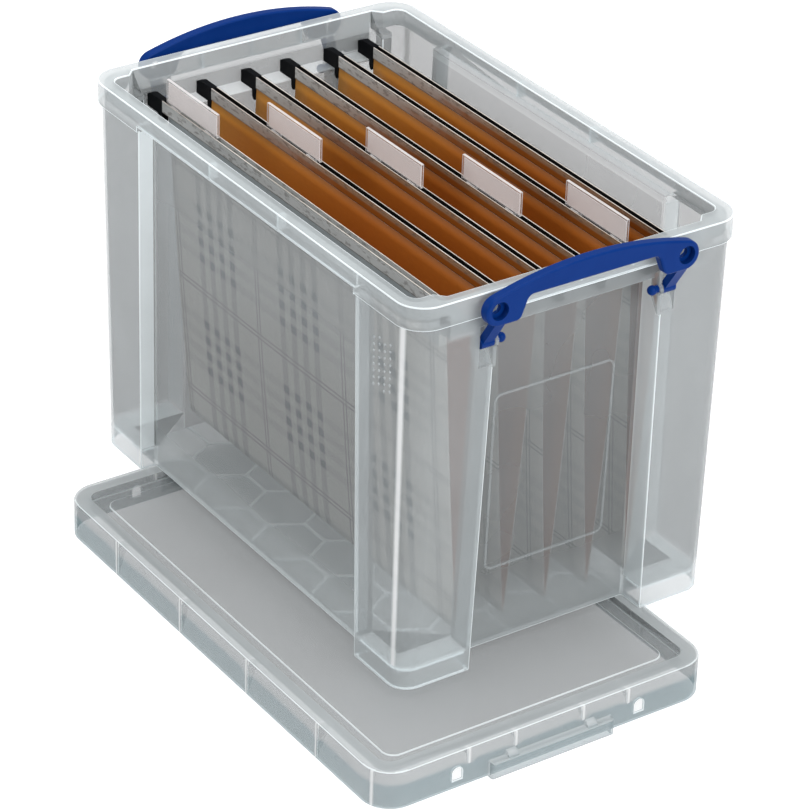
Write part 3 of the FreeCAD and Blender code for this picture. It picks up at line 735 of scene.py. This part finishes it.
def sleeveEdge():
    finish = Finish("tab_edge", tabEdgeLook["shader"])
    smear = finish.noise(*tabEdgeLook["smear"])
    finish.feed("Base Color", finish.mix(smear, *tabEdgeLook["colours"]))
    finish.feed("Alpha", smear.around(*tabEdgeLook["alpha"]))
    return finish.material


sleeveLine = sleeveEdge()


def softTab(number):
    look = tabLook
    node = "tab_%d" % number
    bm = copyNode(node, look["flat"])
    low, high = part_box(node)
    outer = [e for e in bm.edges if e.is_convex and e.calc_face_angle() > math.radians(look["sharp"])
             and all(min(v.co.y - low.y, high.y - v.co.y) < mergeGap for v in e.verts)]
    softened = softenEdges(bm, outer, look["soften"], True)
    narrow = [f for f in bm.faces if max(abs(f.normal.x), f.normal.z) > look["facing"]]
    for face in softened + narrow:
        face.material_index = 1
    piece = newPiece("tab_sleeve_%d" % number, bm, [sleeve, sleeveLine], "files")
    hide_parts(node)


for number in range(1, pocketLook["count"] + 1):
    softTab(number)
print("files: runners and tab sleeves softened")


# Ribs in a honeycomb on the tub's floor
ribLook = {"side": 25.4, "width": 2.3, "height": 0.8, "floor": 1.9, "merge": 0.05, "across": 5, "along": 4,
           "limitX": 166.5, "limitY": 108.5, "columnX": 136.0, "columnY": 68.5}


def tubPoint(x, y, z):
    return tubBase + Vector((x, y, z)) * mm


def floorRibs():
    look = ribLook
    bm = bmesh.new()
    turned = Matrix.Rotation(math.pi / 2, 4, "Z")
    for i in range(-look["across"], look["across"] + 1):
        for j in range(-look["along"], look["along"] + 1):
            x, y = 1.5 * look["side"] * i, math.sqrt(3) * look["side"] * (j + 0.5 * (i % 2))
            bmesh.ops.create_circle(bm, cap_ends=True, segments=6, radius=look["side"] * mm,
                                    matrix=Matrix.Translation(tubPoint(x, y, look["floor"])) @ turned)
    bmesh.ops.remove_doubles(bm, verts=bm.verts, dist=look["merge"] * mm)
    cells = bm.faces[:]
    bmesh.ops.inset_individual(bm, faces=cells, thickness=look["width"] / 2 * mm, use_even_offset=True)
    bmesh.ops.delete(bm, geom=cells, context="FACES_ONLY")
    for axis, limit, column in ((0, look["limitX"], look["columnX"]), (1, look["limitY"], look["columnY"])):
        for side in (-1, 1):
            normal = Vector((0, 0, 0))
            normal[axis] = side
            for place, outer in ((limit, True), (column, False)):
                cutAt(bm, tubBase + normal * place * mm, normal, clearOuter=outer)
    inColumns = [f for f in bm.faces if abs(f.calc_center_median().x - tubBase.x) > look["columnX"] * mm
                 and abs(f.calc_center_median().y - tubBase.y) > look["columnY"] * mm]
    bmesh.ops.delete(bm, geom=inColumns, context="FACES")
    loose = [v for v in bm.verts if not v.link_faces]
    bmesh.ops.delete(bm, geom=loose, context="VERTS")
    raiseFaces(bm, look["height"] * mm)
    newPiece("floor_ribs", bm, [plastic["tub"]["edge"]], "box")


# Plain raised frame on each end panel
frameLook = {"halfWidth": 47.5, "low": 58.5, "high": 191.0, "radius": 6.0, "steps": 5, "line": 1.6,
             "sunk": 0.3, "proud": 0.7, "panelX": 175.5}


def endFrame(name, side):
    look, corner = frameLook, cornerHighlightLook["tub"]
    bm = bmesh.new()
    bmesh.ops.create_grid(bm, x_segments=1, y_segments=1, size=1)
    half = (look["high"] - look["low"]) / 2
    middle = (look["high"] + look["low"]) / 2
    bmesh.ops.scale(bm, verts=bm.verts, vec=(look["halfWidth"] * mm, half * mm, 1))
    bmesh.ops.bevel(bm, geom=bm.verts[:], offset=look["radius"] * mm, offset_type="OFFSET", affect="VERTICES",
                    segments=look["steps"], profile=0.5, material=-1)
    field = bm.faces[:]
    bmesh.ops.inset_region(bm, faces=field, thickness=look["line"] * mm, use_boundary=True,
                           use_even_offset=True)
    bmesh.ops.delete(bm, geom=field, context="FACES_ONLY")
    raiseFaces(bm, (look["sunk"] + look["proud"]) * mm)
    lean = corner["leanX"] / corner["height"]
    across = Vector((0, side, 0))
    up = Vector((side * lean, 0, 1)).normalized()
    out = across.cross(up)
    panelX = look["panelX"] - lean * (corner["height"] - middle)
    base = tubPoint(side * panelX, 0, middle) - out * look["sunk"] * mm
    turn = Matrix((across, up, out)).transposed().to_4x4()
    bmesh.ops.transform(bm, matrix=Matrix.Translation(base) @ turn, verts=bm.verts)
    newPiece(name, bm, [plastic["tub"]["frame"]], "box")


# Grip pips on the near column
pipLook = {"columns": 4, "rows": 8, "x": 153.5, "z": 213.0, "pitchX": 6.0, "pitchZ": 4.7,
           "radius": 1.1, "flat": 0.6}


def columnPips():
    look, corner = pipLook, cornerHighlightLook["tub"]
    lean = corner["leanY"] / corner["height"]
    bm = bmesh.new()
    for i in range(look["columns"]):
        for j in range(look["rows"]):
            z = look["z"] + (j + 0.5 * (i % 2)) * look["pitchZ"]
            y = -(corner["sideY"] - lean * (corner["height"] - z))
            place = Matrix.Translation(tubPoint(look["x"] + i * look["pitchX"], y, z))
            bmesh.ops.create_icosphere(bm, subdivisions=1, radius=look["radius"] * mm,
                                       matrix=place @ Matrix.Diagonal((1, look["flat"], 1, 1)))
    smoothFaces(newPiece("column_pips", bm, [plastic["tub"]["rim"]], "box"))


floorRibs()
endFrame("end_frame_right", 1)
endFrame("end_frame_left", -1)
columnPips()
print("details: floor ribs, end frames and pips added")


# Camera where the photograph was taken from
view = {"place": (1.72735, -1.18901, 1.34859), "azimuth": 55.134, "elevation": 30.055, "roll": 1.851,
        "lens": 160.77, "sensor": 36, "clip": 0.05}


def setCamera():
    azimuth, elevation, roll = (math.radians(view[k]) for k in ("azimuth", "elevation", "roll"))
    flat = math.cos(elevation)
    back = Vector((math.sin(azimuth) * flat, -math.cos(azimuth) * flat, math.sin(elevation)))
    level = Vector((math.cos(azimuth), math.sin(azimuth), 0))
    up = back.cross(level)
    right = level * math.cos(roll) + up * math.sin(roll)
    top = up * math.cos(roll) - level * math.sin(roll)
    turned = Matrix((right, top, back)).transposed().to_4x4()
    camera = bpy.data.objects.new("camera", bpy.data.cameras.new("camera"))
    camera.data.lens = view["lens"]
    camera.data.sensor_width = view["sensor"]
    camera.data.clip_start = view["clip"]
    camera.matrix_world = Matrix.Translation(view["place"]) @ turned
    bpy.context.scene.collection.objects.link(camera)
    bpy.context.scene.camera = camera


# Plain white sweep and soft studio light; layers is how many clear walls a ray may pass
stageLook = {"shader": {"Roughness": 0.9, "Specular IOR Level": 0.0}, "floor": (0.86, 0.86, 0.87, 1),
             "size": 30, "glow": 0.42, "world": 0.50, "aim": (0, 0, 0.15), "layers": 48}
lamps = {"key": {"place": (2.3, 0.3, 1.3), "size": 1.5, "power": 35},
         "top": {"place": (-0.2, 0.2, 2.3), "size": 2.0, "power": 32},
         "fill": {"place": (-0.9, -2.0, 1.3), "size": 1.6, "power": 17}}


def setFloor():
    bm = bmesh.new()
    bmesh.ops.create_grid(bm, x_segments=1, y_segments=1, size=stageLook["size"])
    mesh = bpy.data.meshes.new("floor")
    bm.to_mesh(mesh)
    bm.free()
    floor = bpy.data.objects.new("floor", mesh)
    bpy.context.scene.collection.objects.link(floor)
    finish = Finish("floor_white", stageLook["shader"])
    finish.feed("Base Color", stageLook["floor"])
    seen = finish.ray("Camera")
    for kind in ("Glossy", "Transmission"):
        seen = seen.calc("MAXIMUM", seen, finish.ray(kind))
    finish.feed("Emission Color", finish.mix(seen, (0, 0, 0, 1), (1, 1, 1, 1)))
    finish.feed("Emission Strength", stageLook["glow"])
    mesh.materials.append(finish.material)


def setLamps():
    for name, lamp in lamps.items():
        data = bpy.data.lights.new(name, "AREA")
        data.size = lamp["size"]
        data.energy = lamp["power"]
        light = bpy.data.objects.new(name, data)
        light.location = lamp["place"]
        aim = Vector(stageLook["aim"]) - light.location
        light.rotation_euler = aim.to_track_quat("-Z", "Y").to_euler()
        bpy.context.scene.collection.objects.link(light)


def setWorld():
    world = bpy.data.worlds.new("studio")
    world.use_nodes = True
    tree = world.node_tree
    sky = tree.nodes["Background"]
    sky.inputs["Color"].default_value = (1, 1, 1, 1)
    path = tree.nodes.new("ShaderNodeLightPath")
    level = tree.nodes.new("ShaderNodeMapRange")
    level.inputs["To Min"].default_value = stageLook["world"]
    level.inputs["To Max"].default_value = 1.0
    tree.links.new(path.outputs["Is Camera Ray"], level.inputs["Value"])
    tree.links.new(level.outputs[0], sky.inputs["Strength"])
    bpy.context.scene.world = world


setCamera()
setFloor()
setLamps()
setWorld()
bpy.context.scene.view_settings.view_transform = "Standard"
bpy.context.scene.cycles.transparent_max_bounces = stageLook["layers"]
print("stage: camera, lamps and floor set")
